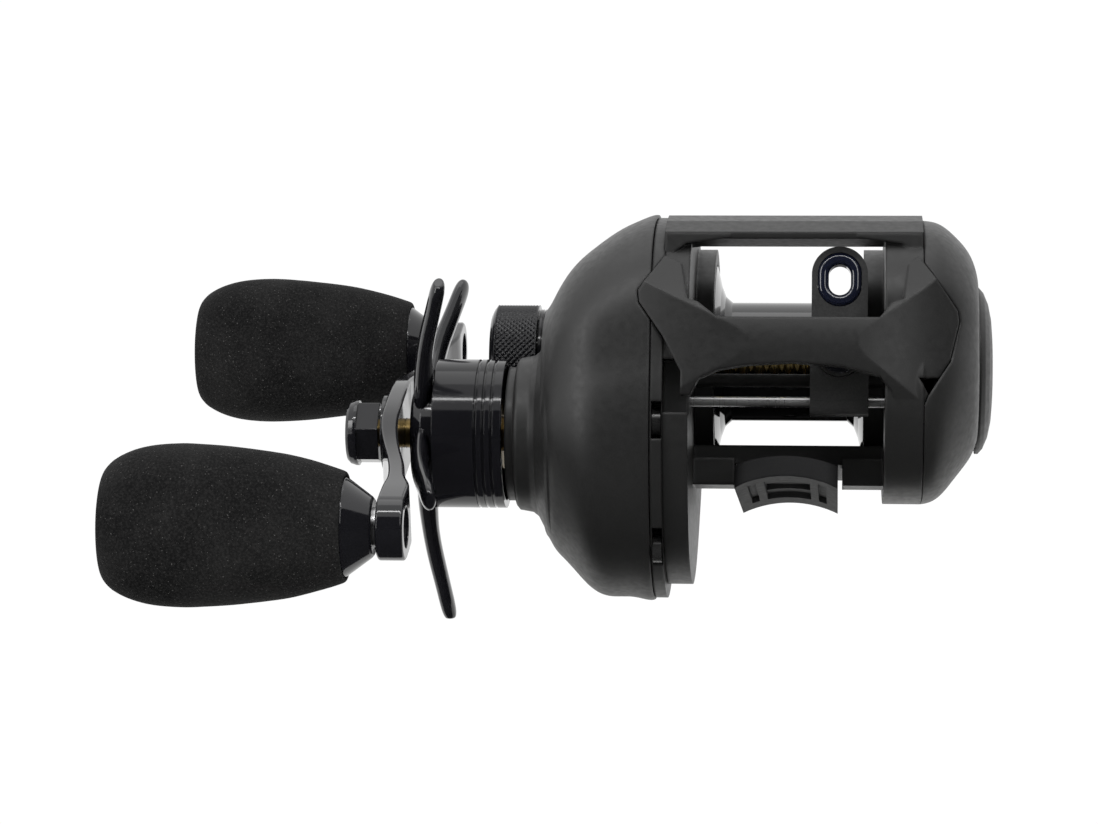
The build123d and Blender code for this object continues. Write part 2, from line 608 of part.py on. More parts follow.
with BuildPart() as drag_washers:
    add(tube(-31.75, -31.0, 15.8, 3.3, CRANK_C))
    add(tube(-33.45, -32.7, 15.8, 3.3, CRANK_C))
save(drag_washers.part, "drag_washers")

with BuildPart() as key_washer:
    add(tube(-32.7, -31.75, 15.4, 3.04, CRANK_C))
    add(tube(-34.6, -33.45, 15.0, 3.04, CRANK_C))
save(key_washer.part, "key_washer")

with BuildPart() as drive_shaft:
    add(disc(-61.8, -24.9, 3.0, CRANK_C))
    add(disc(-66.2, -61.8, 2.55, CRANK_C))
    add(disc(-75.6, -66.2, 2.4, CRANK_C))
    add(disc(-24.9, -20.9, 2.0, CRANK_C))
    add(disc(-25.4, -24.9, 5.2, CRANK_C))
save(drive_shaft.part, "drive_shaft")

with BuildPart() as roller_sleeve:
    add(tube(-48.6, -34.6, 4.4, 3.04, CRANK_C))
save(roller_sleeve.part, "roller_sleeve")

with BuildPart() as anti_reverse_bearing:
    add(tube(-46.4, -38.6, 6.5, 5.75, CRANK_C))
    with BuildSketch(side(-45.6)):
        with Locations(CRANK_C):
            with PolarLocations(5.08, 10):
                Circle(0.6)
    extrude(amount=6.2)
save(anti_reverse_bearing.part, "anti_reverse_bearing")

# ---------------------------------------------------------------- clutch
YOKE_X = (-27.2, -26.3)
with BuildPart() as yoke:
    with BuildSketch(side(YOKE_X[0])):
        with BuildLine():
            Polyline(
                (14.6, 12.6), (16.6, 17.0), (14.2, 20.6), (11.6, 21.2), (10.4, 26.0), (6.6, 27.6),
                (4.9, 29.4), (4.6, 33.2), (0.4, 34.6), (-2.6, 31.0), (-1.6, 27.4), (1.6, 24.4),
                (3.6, 19.4), (7.6, 17.6), (9.2, 13.4),
                close=True,
            )  # fmt: skip
        make_face()
        with Locations(SPOOL_C):
            Circle(2.62, mode=Mode.SUBTRACT)
        for c in POSTS:
            with Locations(c):
                Circle(1.32, mode=Mode.SUBTRACT)
    extrude(amount=YOKE_X[1] - YOKE_X[0])
save(yoke.part, "yoke")

with BuildPart() as yoke_posts:
    for c in POSTS:
        add(disc(-35.6, PLATE_X, 1.2, c))
        add(disc(-36.4, -35.6, 2.2, c))
        add(disc(PLATE_X, -20.7, 0.88, c))
save(yoke_posts.part, "yoke_posts")

SPRING_TURNS, SPRING_WIRE, SPRING_R = 6, 0.25, 1.9
with BuildPart() as yoke_springs:
    for c in POSTS:
        low = YOKE_X[0] - 0.35
        with BuildLine() as coil_line:
            coil = Helix(
                pitch=(35.2 + low) / SPRING_TURNS,
                height=35.2 + low,
                radius=SPRING_R,
                center=(low, *c),
                direction=(-1, 0, 0),
            )
        with BuildSketch(Plane(origin=coil @ 0, z_dir=coil % 0)) as wire:
            Circle(SPRING_WIRE)
        sweep(wire.sketch, path=coil_line.line, is_frenet=True)
save(yoke_springs.part, "yoke_springs")

CAM_X = (-25.5, -24.7)
CAM_ARM = 19.0
with BuildPart() as clutch_cam:
    with BuildSketch(side(CAM_X[0])):
        with Locations(SPOOL_C):
            Circle(7.6)
        with Locations((SPOOL_Y + CAM_ARM / 2 + 3, SPOOL_Z)):
            Rectangle(CAM_ARM - 1, 4.4)
        with Locations((SPOOL_Y + CAM_ARM, SPOOL_Z)):
            SlotOverall(4.8 + 1.2, 4.8)
        with Locations(SPOOL_C):
            Circle(5.0, mode=Mode.SUBTRACT)
        with Locations((SPOOL_Y + CAM_ARM, SPOOL_Z)):
            SlotOverall(3.6, 2.4, mode=Mode.SUBTRACT)
    extrude(amount=CAM_X[1] - CAM_X[0])
save(clutch_cam.part, "clutch_cam")

with BuildPart() as thumb_bar:
    with BuildSketch(side(-12.6)):
        with BuildLine():
            Polyline(
                (24.6, 24.4), (25.0, 28.6), (26.8, 30.7), (29.4, 30.8), (31.4, 28.6),
                (32.4, 24.6), (31.8, 21.2), (28.6, 20.4), (25.4, 20.8), close=True,
            )  # fmt: skip
        make_face()
    extrude(amount=25.2)
    fillet(thumb_bar.edges().filter_by(Axis.X), 0.9)
    add(box(-24.0, -12.0, 25.5, 27.5, 21.4, 24.5))
    add(box(12.0, 18.0, 25.5, 27.5, 21.4, 24.5))
    add(disc(-26.0, -24.0, 1.0, (SPOOL_Y + CAM_ARM, SPOOL_Z)))
save(thumb_bar.part, "thumb_bar")

# ---------------------------------------------------------------- level wind
WORM_R = 2.9
GROOVE_PITCH = 5.2
GROOVE_SLANT = math.radians(24)
GROOVE_RINGS = 10
GROOVE_START = -11.3
with BuildPart() as worm_shaft:
    add(disc(-28.3, 19.8, 1.5, WORM_C))
    add(disc(-14.8, 15.6, WORM_R, WORM_C))
    # the crossing left-hand and right-hand grooves, as rings slanted both ways at half the pitch
    for i in range(GROOVE_RINGS):
        centre = (GROOVE_START + i * GROOVE_PITCH / 2, *WORM_C)
        for slant in (GROOVE_SLANT, -GROOVE_SLANT):
            across = (-math.sin(slant), math.cos(slant), 0)
            with BuildSketch(Plane(origin=centre, x_dir=across, z_dir=(0, 0, 1))):
                with Locations((WORM_R, 0)):
                    Circle(0.72)
            revolve(axis=Axis(centre, (math.cos(slant), math.sin(slant), 0)), mode=Mode.SUBTRACT)
save(worm_shaft.part, "worm_shaft")

with BuildPart() as worm_gear:
    add(gear_blank(worm_gear_teeth, -28.5, -26.5, WORM_C))
    add(disc(-29, -26, 1.52, WORM_C), mode=Mode.SUBTRACT)
    add(tube(-26.5, -25.0, 3.0, 1.52, WORM_C))
save(worm_gear.part, "worm_gear")

with BuildPart() as worm_bushings:
    add(tube(-20.4, -16.0, 3.28, 1.5 + RUN, WORM_C))
    add(tube(16.6, 20.4, 3.28, 1.5 + RUN, WORM_C))
save(worm_bushings.part, "worm_bushings")

GUARD_R, GUARD_BORE = 4.7, 3.35
with BuildPart() as worm_guard:
    add(tube(GEAR_WALL[1], PALM_WALL[0], GUARD_R, GUARD_BORE, WORM_C))
    # the pawl's way, open to the front along the stroke
    add(box(-13.4, 14.4, WORM_Y - 6, WORM_Y, WORM_Z - 2.9, WORM_Z + 2.2), mode=Mode.SUBTRACT)
save(worm_guard.part, "worm_guard")

with BuildPart() as guide_rod:
    add(disc(-17.3, 18.3, ROD_R - 0.01, ROD_C))
save(guide_rod.part, "guide_rod")

EYE_Y = (-28.8, -25.2)  # front and back of the eye plate
EYE_Z = 33.2
PAWL_Z = WORM_Z
with BuildPart() as line_guide:
    # sleeve on the rod, carriage on the guard, and the web between them
    with BuildSketch(side(GUIDE_X - 4.9)):
        with Locations(ROD_C):
            RectangleRounded(4.6, 4.6, 1.2)
        with Locations(WORM_C):
            Circle(6.2)
        with BuildLine():
            Polyline(
                (ROD_Y - 2.3, ROD_Z), (ROD_Y + 2.3, ROD_Z), (WORM_Y + 2, WORM_Z - 4),
                (WORM_Y - 3, WORM_Z + 5.4), (-28.8, WORM_Z + 3.4), (-28.8, WORM_Z - 3), close=True,
            )  # fmt: skip
        make_face()
    extrude(amount=9.8)
    # upright that carries the eye
    with BuildSketch(Plane(origin=(0, EYE_Y[0], 0), x_dir=(1, 0, 0), z_dir=(0, -1, 0))):
        with Locations((GUIDE_X, EYE_Z)):
            SlotOverall(11.2, 9.4, rotation=90)
        with Locations((GUIDE_X, 26.6)):
            Rectangle(9.4, 13)
    extrude(amount=-(EYE_Y[1] - EYE_Y[0]))
    with BuildSketch(Plane(origin=(0, EYE_Y[0], 0), x_dir=(1, 0, 0), z_dir=(0, -1, 0))):
        with Locations((GUIDE_X, EYE_Z)):
            SlotOverall(9.2, 7.4, rotation=90)
    extrude(amount=-4, mode=Mode.SUBTRACT)
    add(disc(GUIDE_X - 6, GUIDE_X + 6, ROD_R + 0.06, ROD_C), mode=Mode.SUBTRACT)
    add(disc(GUIDE_X - 6, GUIDE_X + 6, GUARD_R + 0.15, WORM_C), mode=Mode.SUBTRACT)
    # threaded well for the pawl, from the front
    with BuildSketch(Plane(origin=(0, -31.0, 0), x_dir=(1, 0, 0), z_dir=(0, -1, 0))):
        with Locations((GUIDE_X, PAWL_Z)):
            Circle(3.9)
    extrude(amount=-4.8)
    with BuildSketch(Plane(origin=(0, -31.2, 0), x_dir=(1, 0, 0), z_dir=(0, -1, 0))):
        with Locations((GUIDE_X, PAWL_Z)):
            Circle(2.3)
    extrude(amount=-6, mode=Mode.SUBTRACT)
    add(disc(GUIDE_X - 6, GUIDE_X + 6, GUARD_R + 0.15, WORM_C), mode=Mode.SUBTRACT)
save(line_guide.part, "line_guide")

with BuildPart() as guide_ring:
    with BuildSketch(Plane(origin=(0, EYE_Y[0] - 0.4, 0), x_dir=(1, 0, 0), z_dir=(0, -1, 0))):
        with Locations((GUIDE_X, EYE_Z)):
            SlotOverall(9.16, 7.36, rotation=90)
            SlotOverall(5.2, 3.7, rotation=90, mode=Mode.SUBTRACT)
    extrude(amount=-(EYE_Y[1] - EYE_Y[0]) - 0.8)
    rims = guide_ring.faces().filter_by(Axis.Y).edges()
    fillet(rims, 0.85)
save(guide_ring.part, "guide_ring")

PAWL_FOOT_Y = -29.4
with BuildPart() as pawl:
    with BuildSketch(Plane(origin=(0, PAWL_FOOT_Y, 0), x_dir=(1, 0, 0), z_dir=(0, -1, 0))):
        with Locations((GUIDE_X, PAWL_Z)):
            Circle(1.5)
    extrude(amount=PAWL_FOOT_Y - (WORM_Y - WORM_R - 0.12))
save(pawl.part, "pawl")

with BuildPart() as pawl_cap:
    with BuildSketch(Plane(origin=(0, -31.8, 0), x_dir=(1, 0, 0), z_dir=(0, -1, 0))):
        with Locations((GUIDE_X, PAWL_Z)):
            Circle(3.4)
    extrude(amount=-0.8)
    with BuildSketch(Plane(origin=(0, -31.0, 0), x_dir=(1, 0, 0), z_dir=(0, -1, 0))):
        with Locations((GUIDE_X, PAWL_Z)):
            Circle(2.28)
    extrude(amount=-1.5)
    with BuildSketch(Plane(origin=(0, -31.8, 0), x_dir=(1, 0, 0), z_dir=(0, -1, 0))):
        with Locations((GUIDE_X, PAWL_Z)):
            Rectangle(4.6, 0.7)
    extrude(amount=-0.4, mode=Mode.SUBTRACT)
save(pawl_cap.part, "pawl_cap")

# ---------------------------------------------------------------- palm side
DIAL_C = (-0.5, 21.2)
PALM_HOLLOW_X = [PALM_WALL[1], 23.6, 24.8, 27.0, 28.9, 29.8, 30.2]
with BuildPart() as palm_cover:
    add(lofted(PALM_OUTLINE, PALM_SECTIONS))
    add(
        lofted(PALM_OUTLINE, drawn_in(PALM_SECTIONS, SKIN, PALM_HOLLOW_X), ruled=True),
        mode=Mode.SUBTRACT,
    )
    add(disc(28, 34, 2.5, DIAL_C), mode=Mode.SUBTRACT)
    add(band_clearance.part, mode=Mode.SUBTRACT)
save(palm_cover.part, "palm_cover")

with BuildPart() as brake_plate:
    add(disc(17.0, 19.2, FLANGE_R + 0.2, SPOOL_C))
    add(disc(19.2, 22.6, 16.0, SPOOL_C))
    add(disc(20.9, 23.6, 15.0, SPOOL_C), mode=Mode.SUBTRACT)
    add(disc(16.9, 21.0, 4.02, SPOOL_C), mode=Mode.SUBTRACT)
    for y, z in ((18, 23.5), (1.5, 33.0), (1.5, 14.0)):
        add(disc(20.9, 26.5, 1.8, (y, z)))
save(brake_plate.part, "brake_plate")

with BuildPart() as palm_bearing:
    add(bearing(17.6, 20.2, 4.0, 1.35 + RUN, SPOOL_C))
save(palm_bearing.part, "palm_bearing")

with BuildPart() as brake_magnets:
    with BuildSketch(side(12.6)):
        with Locations(SPOOL_C):
            with PolarLocations(8.05, 8):
                Rectangle(1.2, 2.6)
    extrude(amount=4.4)
save(brake_magnets.part, "brake_magnets")

with BuildPart() as brake_dial:
    add(
        turned(
            [
                (32.45, 0), (32.45, 14.6), (33.0, 14.6), (33.8, 13.7), (34.6, 11.8), (35.1, 9.4), (35.3, 7.0), (35.3, 0),
            ],  # fmt: skip
            DIAL_C,
        )
    )
    add(disc(29.0, 32.45, 2.4, DIAL_C))
    add(disc(28.2, 29.0, 3.6, DIAL_C))
save(brake_dial.part, "brake_dial")

# ---------------------------------------------------------------- star drag
STAR_STATIONS = [  # radius, x centre, thickness, width
    (5.0, -62.7, 3.6, 8.6), (10.0, -62.6, 3.4, 7.4), (15.0, -62.2, 3.1, 6.2), (20.0, -61.4, 2.9, 5.5),
    (25.0, -60.2, 2.8, 5.2), (29.0, -59.2, 2.7, 5.0), (31.2, -58.7, 2.4, 4.2), (32.3, -58.5, 1.6, 2.6),
]  # fmt: skip


STAR_TURN = -82  # direction of the lowest arm, in degrees from +Y


def star_arm(angle):
    radial = (0, math.cos(angle), math.sin(angle))
    with BuildPart() as body:
        for radius, x, thick, width in STAR_STATIONS:
            centre = (x, CRANK_Y + radius * radial[1], CRANK_Z + radius * radial[2])
            with BuildSketch(Plane(origin=centre, x_dir=(1, 0, 0), z_dir=radial)):
                Ellipse(thick / 2, width / 2)
        loft()
        fillet(body.edges().sort_by(Axis((0, *CRANK_C), radial))[-1], 0.5)
    return body.part


with BuildPart() as star_drag:
    add(
        turned(
            [
                (-64.8, 3.04), (-64.8, 7.4), (-64.2, 8.4), (-62.8, 9.2), (-60.9, 9.2), (-60.5, 8.4), (-60.5, 3.04),
            ],  # fmt: skip
            CRANK_C,
        )
    )
    for i in range(5):
        add(star_arm(math.radians(STAR_TURN + 72 * i)))
    add(disc(-70, -50, 3.04, CRANK_C), mode=Mode.SUBTRACT)
save(star_drag.part, "star_drag")

GROOVES = [-53.1, -51.7, -50.3]
with BuildPart() as drag_barrel:
    add(tube(-60.5, -48.6, 12.9, 11.6, CRANK_C))
    add(tube(-60.5, -59.3, 12.9, 3.04, CRANK_C))
    for x in GROOVES:
        add(tube(x - 0.22, x + 0.22, 13.5, 12.55, CRANK_C), mode=Mode.SUBTRACT)
save(drag_barrel.part, "drag_barrel")

with BuildPart() as star_spring_washers:
    for x, outer in ((-51.0, 6.4), (-50.0, 6.0)):
        add(tube(x, x + 0.8, outer, 3.2, CRANK_C))
save(star_spring_washers.part, "star_spring_washers")

# ---------------------------------------------------------------- handle
ALONG = (math.cos(HANDLE_ANGLE), math.sin(HANDLE_ANGLE))  # the handle's direction in Y and Z
HANDLE_SIDE = Plane(origin=(0, *CRANK_C), x_dir=(1, 0, 0), z_dir=(0, -ALONG[1], ALONG[0]))
HANDLE_FACE = Plane(origin=(-72, *CRANK_C), x_dir=(0, *ALONG), z_dir=(1, 0, 0))
PIVOTS = {
    "near": (CRANK_Y - HANDLE_REACH * ALONG[0], CRANK_Z - HANDLE_REACH * ALONG[1]),
    "far": (CRANK_Y + HANDLE_REACH * ALONG[0], CRANK_Z + HANDLE_REACH * ALONG[1]),
}
# One half of the arm seen from its side, as (x, distance from the axis), and half its width along it.
ARM_OUTER = [(-69.3, 8.0), (-68.4, 15.0), (-66.9, 21.5), (-65.7, 28.0), (-65.2, 34.0), (-65.4, 39.0)]
ARM_INNER = [(-60.9, 39.0), (-62.0, 34.0), (-63.0, 28.0), (-64.4, 21.5), (-65.8, 14.5), (-66.3, 8.0)]
ARM_HALF_WIDTH = [(0, 7.2), (8, 6.8), (16, 5.4), (26, 4.8), (36, 5.1), (44, 5.4)]
ARM_END_R = 5.4

with BuildPart() as handle_arm:
    with BuildSketch(HANDLE_SIDE):
        with BuildLine():
            outer = Spline(*[(x, t) for x, t in ARM_OUTER], tangents=[(0, 1), (0, 1)])
            inner = Spline(*[(x, t) for x, t in ARM_INNER], tangents=[(0, -1), (0, -1)])
            far_outer = Spline(*[(x, -t) for x, t in ARM_OUTER], tangents=[(0, -1), (0, -1)])
            far_inner = Spline(*[(x, -t) for x, t in ARM_INNER], tangents=[(0, 1), (0, 1)])
            Line(outer @ 0, far_outer @ 0)
            Line(inner @ 1, far_inner @ 1)
            Polyline(outer @ 1, (-65.4, 49.6), (-60.9, 49.6), inner @ 0)
            Polyline(far_outer @ 1, (-65.4, -49.6), (-60.9, -49.6), far_inner @ 0)
        make_face()
    extrude(amount=9, both=True)
    with BuildSketch(HANDLE_FACE):
        half_widths = [(-t, w) for t, w in ARM_HALF_WIDTH[:0:-1]] + ARM_HALF_WIDTH
        with BuildLine():
            upper = Spline(*half_widths, tangents=[(1, 0), (1, 0)])
            lower = Spline(*[(t, -w) for t, w in half_widths], tangents=[(1, 0), (1, 0)])
            ThreePointArc(upper @ 1, (HANDLE_REACH + ARM_END_R, 0), lower @ 1)
            ThreePointArc(upper @ 0, (-HANDLE_REACH - ARM_END_R, 0), lower @ 0)
        make_face()
    extrude(amount=14, mode=Mode.INTERSECT)
    fillet(handle_arm.edges(), 0.5)
    add(disc(-72, -60, 2.6, CRANK_C), mode=Mode.SUBTRACT)
    for c in PIVOTS.values():
        add(disc(-68, -60, 2.02, c), mode=Mode.SUBTRACT)
        add(disc(-63.2, -60, 3.4, c), mode=Mode.SUBTRACT)
save(handle_arm.part, "handle_arm")

with BuildPart() as handle_nut:
    with BuildSketch(side(-74.6)):
        with Locations(CRANK_C):
            RegularPolygon(5.7, 6)
    extrude(amount=3.9)
    add(turned([(-76.4, 2.42), (-76.4, 4.9), (-75.9, 5.4), (-75.0, 5.7), (-74.5, 5.7), (-74.5, 2.42)], CRANK_C))
    add(disc(-78, -70, 2.42, CRANK_C), mode=Mode.SUBTRACT)
save(handle_nut.part, "handle_nut")

RETAINER_SCREW = (CRANK_Y + 9.6 * ALONG[0], CRANK_Z + 9.6 * ALONG[1])
with BuildPart() as nut_retainer:
    with BuildSketch(Plane(origin=(-70.1, *CRANK_C), x_dir=(0, *ALONG), z_dir=(1, 0, 0))):
        Circle(6.6)
        with Locations((6.0, 0)):
            Rectangle(8, 5)
        with Locations((9.6, 0)):
            Circle(2.5)
            Circle(0.75, mode=Mode.SUBTRACT)
        Circle(2.6, mode=Mode.SUBTRACT)
    extrude(amount=0.7)
save(nut_retainer.part, "nut_retainer")

with BuildPart() as retainer_screw:
    add(disc(-71.1, -70.15, 1.7, RETAINER_SCREW))
    add(disc(-70.15, -69.45, 0.72, RETAINER_SCREW))
save(retainer_screw.part, "retainer_screw")

# ---------------------------------------------------------------- handle knobs
GRIP_SECTIONS = [  # x, size in Z, size in Y
    (-70.7, 17.9, 17.5), (-74.0, 20.4, 18.2), (-81.0, 23.8, 19.6), (-90.0, 26.0, 20.6), (-97.5, 26.8, 20.8),
    (-104.0, 25.4, 19.8), (-108.6, 21.6, 17.0), (-110.6, 16.4, 13.4),
]  # fmt: skip

for place, centre in PIVOTS.items():
    with BuildPart() as knob_spindle:
        add(disc(-107.2, -63.1, 2.0, centre))
        add(disc(-63.15, -62.0, 3.3, centre))
        add(disc(-108.0, -107.2, 2.9, centre))
    save(knob_spindle.part, f"knob_{place}_spindle")

    with BuildPart() as knob_bush:
        add(tube(-67.0, -65.45, 3.2, 2.0 + RUN, centre))
        add(tube(-72.5, -67.0, 3.2, 2.0 + RUN, centre))
        add(tube(-106.9, -101.9, 3.2, 2.0 + RUN, centre))
    save(knob_bush.part, f"knob_{place}_bush")

    with BuildPart() as knob_collar:
        add(
            turned(
                [
                    (-66.1, 3.22), (-66.1, 4.6), (-66.4, 5.0), (-70.3, 7.9), (-70.6, 8.1), (-71.9, 8.1),
                    (-71.9, 4.4), (-108.4, 4.4), (-108.4, 3.22),
                ],  # fmt: skip
                centre,
            )
        )
    save(knob_collar.part, f"knob_{place}_collar")

    with BuildPart() as knob_grip:
        for x, tall, deep in GRIP_SECTIONS:
            with BuildSketch(Plane(origin=(x, *centre), x_dir=(0, 1, 0), z_dir=(1, 0, 0))):
                Ellipse(deep / 2, tall / 2)
        loft()
        add(disc(-113, -69, 4.42, centre), mode=Mode.SUBTRACT)
        add(disc(-71.95, -69, 8.2, centre), mode=Mode.SUBTRACT)
        add(disc(-113, -109.3, 5.6, centre), mode=Mode.SUBTRACT)
    save(knob_grip.part, f"knob_{place}_grip")

    with BuildPart() as knob_end_cap:
        add(disc(-110.7, -109.35, 5.5, centre))
        add(disc(-109.35, -108.5, 4.3, centre))
    save(knob_end_cap.part, f"knob_{place}_end_cap")
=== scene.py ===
"""The visible surfaces, light and camera of the baitcasting reel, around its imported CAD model.

Metres, in the row frame: X along the spool axle (+X palm side), -Y towards the rod tip, +Z away from the rod.
"""

import json
import math

import bpy
from mathutils import Matrix, Vector, noise


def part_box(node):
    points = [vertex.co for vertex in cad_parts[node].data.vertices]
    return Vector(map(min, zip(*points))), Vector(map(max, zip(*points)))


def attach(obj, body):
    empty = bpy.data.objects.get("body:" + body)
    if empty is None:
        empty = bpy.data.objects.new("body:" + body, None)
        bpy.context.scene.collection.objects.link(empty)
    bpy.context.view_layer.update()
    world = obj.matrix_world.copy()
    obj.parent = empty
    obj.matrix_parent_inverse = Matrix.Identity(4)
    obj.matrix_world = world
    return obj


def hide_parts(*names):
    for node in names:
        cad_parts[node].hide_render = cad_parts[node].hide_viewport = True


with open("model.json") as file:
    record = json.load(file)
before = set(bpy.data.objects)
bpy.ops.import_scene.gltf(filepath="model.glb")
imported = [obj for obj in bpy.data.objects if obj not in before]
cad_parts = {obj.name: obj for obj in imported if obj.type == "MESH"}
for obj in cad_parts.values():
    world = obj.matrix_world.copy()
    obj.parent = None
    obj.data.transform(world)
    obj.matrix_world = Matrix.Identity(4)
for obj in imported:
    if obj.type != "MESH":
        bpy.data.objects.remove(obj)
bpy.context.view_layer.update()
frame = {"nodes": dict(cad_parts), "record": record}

MM = 0.001

# ---------------------------------------------------------------- camera
VIEW_AZ, VIEW_EL, VIEW_ROLL = (math.radians(a) for a in (5.0, -6.0, 0.9))
CAMERA_PLACE = (0.0091925, -0.59018, -0.04877)
LENS, SENSOR_WIDTH = 110.16, 36.0  # millimetres
back = Vector(
    (
        math.sin(VIEW_AZ) * math.cos(VIEW_EL),
        -math.cos(VIEW_AZ) * math.cos(VIEW_EL),
        math.sin(VIEW_EL),
    )
)
level = Vector((math.cos(VIEW_AZ), math.sin(VIEW_AZ), 0.0))
upright = back.cross(level)
right = level * math.cos(VIEW_ROLL) + upright * math.sin(VIEW_ROLL)
up = upright * math.cos(VIEW_ROLL) - level * math.sin(VIEW_ROLL)

camera_data = bpy.data.cameras.new("camera")
camera_data.sensor_fit = "HORIZONTAL"
camera_data.sensor_width = SENSOR_WIDTH
camera_data.lens = LENS
camera_data.clip_start = 0.01
camera_data.clip_end = 20.0
camera = bpy.data.objects.new("camera", camera_data)
bpy.context.scene.collection.objects.link(camera)
camera_turn = Matrix((right, up, back)).transposed().to_4x4()
camera.matrix_world = Matrix.Translation(CAMERA_PLACE) @ camera_turn
bpy.context.scene.camera = camera


# ---------------------------------------------------------------- material helpers
class Nodes:
    """Short calls for the nodes of one material."""

    def __init__(self, name):
        self.material = bpy.data.materials.new(name)
        self.material.use_nodes = True
        self.tree = self.material.node_tree
        self.surface = self.tree.nodes["Principled BSDF"]
        self.place = self.add("TexCoord").outputs["Object"]

    def add(self, kind, **inputs):
        n = self.tree.nodes.new("ShaderNode" + kind)
        for key, value in inputs.items():
            self.set(n, key, value)
        return n

    def set(self, n, key, value):
        by_number = key[0] == "i" and key[1:].isdigit()
        socket = n.inputs[int(key[1:]) if by_number else key.replace("_", " ")]
        if isinstance(value, bpy.types.NodeSocket):
            self.tree.links.new(value, socket)
        else:
            socket.default_value = value

    def noise(self, scale, detail=2.0, stretch=None):
        place = self.place
        if stretch:
            place = self.add("Mapping", Vector=place, Scale=stretch).outputs["Vector"]
        return self.add("TexNoise", Vector=place, Scale=scale, Detail=detail).outputs["Fac"]

    def remap(self, value, lo, hi, to_lo, to_hi):
        n = self.add("MapRange", Value=value, From_Min=lo, From_Max=hi, To_Min=to_lo, To_Max=to_hi)
        return n.outputs["Result"]

    def math(self, operation, a, b=0.0):
        n = self.add("Math", i0=a, i1=b)
        n.operation = operation
        return n.outputs["Value"]

    def blend(self, fac, a, b):
        n = self.tree.nodes.new("ShaderNodeMix")
        n.data_type = "RGBA"
        self.tree.links.new(fac, n.inputs["Factor"])
        n.inputs["A"].default_value = (*a, 1)
        n.inputs["B"].default_value = (*b, 1)
        return n.outputs["Result"]

    def bump(self, height, distance, strength=1.0, normal=None):
        n = self.add("Bump", Height=height, Distance=distance, Strength=strength)
        if normal is not None:
            self.set(n, "Normal", normal)
        return n.outputs["Normal"]

    def soft_edge(self, radius):
        n = self.add("Bevel", Radius=radius)
        n.samples = 6
        return n.outputs["Normal"]


def soft_touch(name, dark, light, rough, edge=0.7 * MM, level=0.4):
    """The satin coating of the body: charcoal, very finely speckled, with soft broad highlights."""
    m = Nodes(name)
    patches = m.noise(45.0, 3.0)
    grain = m.noise(5200.0, 2.0)
    tone = m.math("ADD", m.math("MULTIPLY", patches, 0.55), m.math("MULTIPLY", grain, 0.45))
    m.set(m.surface, "Base_Color", m.blend(m.remap(tone, 0.35, 0.68, 0.0, 1.0), dark, light))
    m.set(m.surface, "Roughness", m.remap(m.noise(900.0, 3.0), 0.3, 0.7, rough - 0.05, rough + 0.06))
    normal = m.bump(grain, 0.006 * MM, 0.35, m.soft_edge(edge))
    m.set(m.surface, "Normal", normal)
    m.surface.inputs["Specular IOR Level"].default_value = level
    return m.material


def gloss_black(name, base=(0.004, 0.004, 0.005), rough=0.07, edge=0.3 * MM, brushed=0.0, level=0.6):
    """Black anodised aluminium polished to a gloss; brushed gives the faint turning lines round X."""
    m = Nodes(name)
    m.set(m.surface, "Base_Color", m.blend(m.noise(60.0, 2.0), base, tuple(1.8 * c for c in base)))
    m.set(m.surface, "Roughness", m.remap(m.noise(400.0, 4.0), 0.3, 0.75, rough * 0.75, rough * 1.5))
    normal = m.bump(m.noise(110.0, 1.0), 0.012 * MM, 0.25, m.soft_edge(edge))
    if brushed:
        lines = m.noise(1.0, 3.0, stretch=(9000.0, 40.0, 40.0))
        normal = m.bump(lines, 0.003 * MM, brushed, normal)
    m.set(m.surface, "Normal", normal)
    m.surface.inputs["Specular IOR Level"].default_value = level
    return m.material


TURNING_LINES = (9000.0, 60.0, 60.0)


def bare_metal(name, dark, light, rough, depth=0.004 * MM):
    """Machined metal: fine turning lines and a little cloudiness in the reflections."""
    m = Nodes(name)
    lines = m.noise(1.0, 3.0, stretch=TURNING_LINES)
    m.set(m.surface, "Base_Color", m.blend(m.noise(180.0, 3.0), dark, light))
    m.set(m.surface, "Roughness", m.remap(lines, 0.3, 0.7, rough * 0.7, rough * 1.4))
    m.surface.inputs["Metallic"].default_value = 1.0
    m.set(m.surface, "Normal", m.bump(lines, depth, 0.4))
    return m.material


def moulded(name, dark, light, rough):
    """Dark moulded polymer with a fine spark-eroded grain."""
    m = Nodes(name)
    grain = m.noise(3600.0, 3.0)
    m.set(m.surface, "Base_Color", m.blend(m.remap(grain, 0.35, 0.7, 0.0, 1.0), dark, light))
    m.set(m.surface, "Roughness", m.remap(m.noise(700.0, 2.0), 0.3, 0.7, rough - 0.06, rough + 0.06))
    m.set(m.surface, "Normal", m.bump(grain, 0.01 * MM, 0.4))
    return m.material


